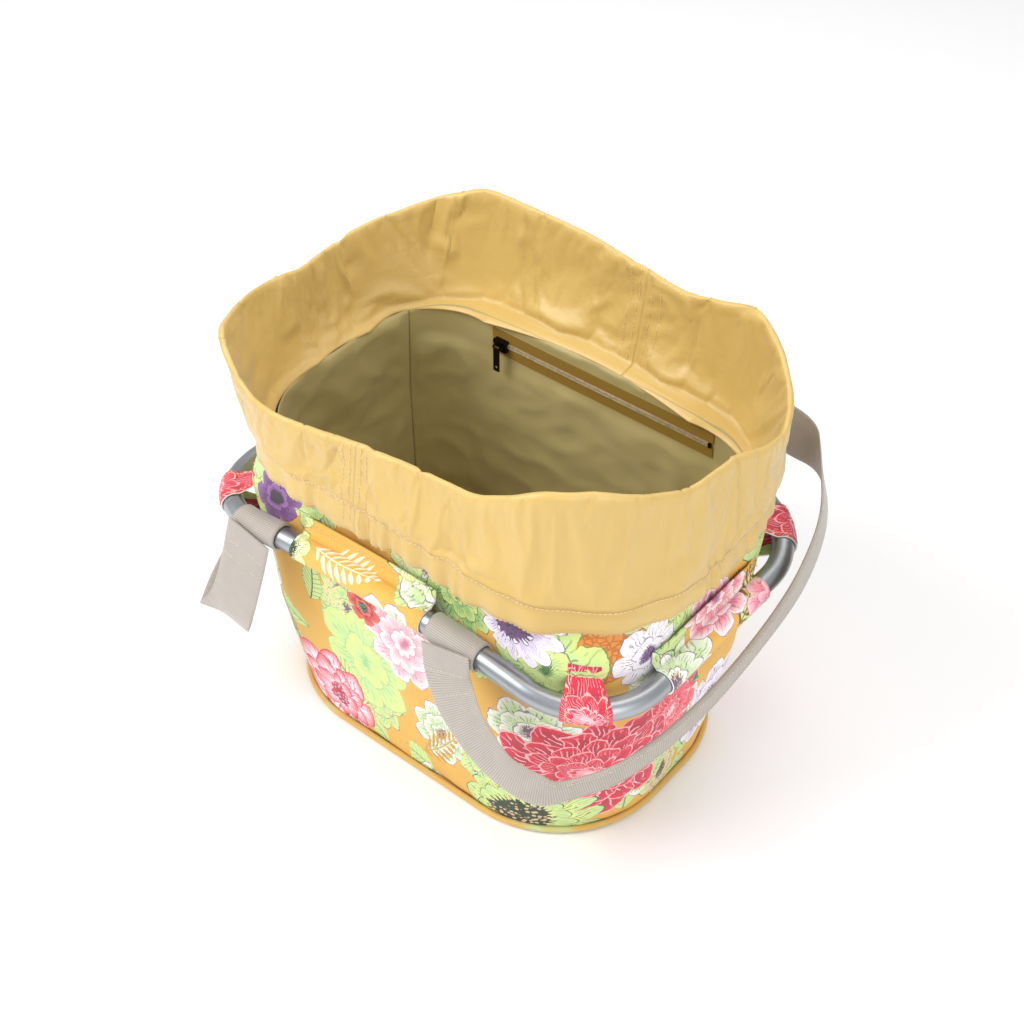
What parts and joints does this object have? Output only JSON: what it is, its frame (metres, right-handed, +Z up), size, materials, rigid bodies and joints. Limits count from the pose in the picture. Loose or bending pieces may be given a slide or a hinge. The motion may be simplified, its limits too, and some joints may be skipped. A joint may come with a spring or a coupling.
{
  "type": "handlebar basket",
  "caption": "Soft printed fabric bag hung in a rounded aluminium ring, with a tall cuffed collar, webbing handles, an inner zip pocket and a rear socket for a handlebar bracket.",
  "frame": {"origin": "centre of the flat underside of the base", "axes": "+X along the long side, to the right seen from the front; +Y towards the handlebar; +Z up"},
  "size_m": [0.3975, 0.304, 0.3336],
  "materials": {
    "ring_tube": "satin anodised",
    "printed_cloth": "printed woven polyester, matte with a slight sheen",
    "base_cloth": "coated woven polyester",
    "piping_cloth": "woven cover over a cord",
    "board_plastic": "plain sheet",
    "lining_cloth": "thin plain weave",
    "plate_steel": "zinc plated",
    "zip_tape": "woven tape",
    "zip_coil": "nylon coil",
    "zip_metal": "dark bronze lacquer",
    "mount_plastic": "fine grain",
    "collar_nylon": "thin satin nylon",
    "webbing": "ribbed woven webbing",
    "screw_steel": "zinc plated"
  },
  "bodies": {
    "bag": {"frame_ring": "ring_tube", "shell_wrap": "printed_cloth", "shell_rear": "printed_cloth", "shell_base": "base_cloth", "base_piping": "piping_cloth", "base_board": "board_plastic", "lining_base": "lining_cloth", "lining_wrap": "lining_cloth", "lining_rear": "lining_cloth", "rear_stiffener": "board_plastic", "backing_plate": "plate_steel", "pocket_bag": "lining_cloth", "zip_tape_upper": "zip_tape", "zip_tape_lower": "zip_tape", "zip_coil_upper": "zip_coil", "zip_coil_lower": "zip_coil", "zip_stop_left": "zip_metal", "zip_stop_right": "zip_metal", "mount_plate": "mount_plastic", "tunnel_front": "printed_cloth", "tunnel_rear": "printed_cloth", "tunnel_right": "printed_cloth", "tunnel_left": "printed_cloth", "corner_loop_rear_right": "printed_cloth", "corner_loop_front_right": "printed_cloth", "corner_loop_front_left": "printed_cloth", "corner_loop_rear_left": "printed_cloth", "collar_right": "collar_nylon", "collar_left": "collar_nylon", "handle_loop_left_front": "webbing", "handle_loop_left_rear": "webbing", "handle_loop_right_front": "webbing", "handle_loop_right_rear": "webbing", "mount_screw_1": "screw_steel", "mount_nut_1": "screw_steel", "mount_screw_2": "screw_steel", "mount_nut_2": "screw_steel", "mount_screw_3": "screw_steel", "mount_nut_3": "screw_steel", "mount_screw_4": "screw_steel", "mount_nut_4": "screw_steel"},
    "handle_right": {"handle_right": "webbing"},
    "handle_left": {"handle_left": "webbing"},
    "zip_slider": {"zip_slider": "zip_metal"},
    "zip_puller": {"zip_puller": "zip_metal"}
  },
  "joints": [
    {"name": "handle_right_swing", "type": "hinge", "parent": "bag", "child": "handle_right", "pos_m": [0.066, 0, 0.18655], "axis": [0, -1, 0], "range_deg": [0, 32]},
    {"name": "handle_left_swing", "type": "hinge", "parent": "bag", "child": "handle_left", "pos_m": [-0.112, 0, 0.18195], "axis": [0, 1, 0], "range_deg": [0, 32]},
    {"name": "zip_slide", "type": "slide", "parent": "bag", "child": "zip_slider", "axis": [1, 0, 0], "range_m": [0, 0.175]},
    {"name": "zip_puller_swing", "type": "hinge", "parent": "zip_slider", "child": "zip_puller", "pos_m": [-0.0779, 0.0871, 0.23], "axis": [-1, 0, 0], "range_deg": [0, 95]}
  ]
}
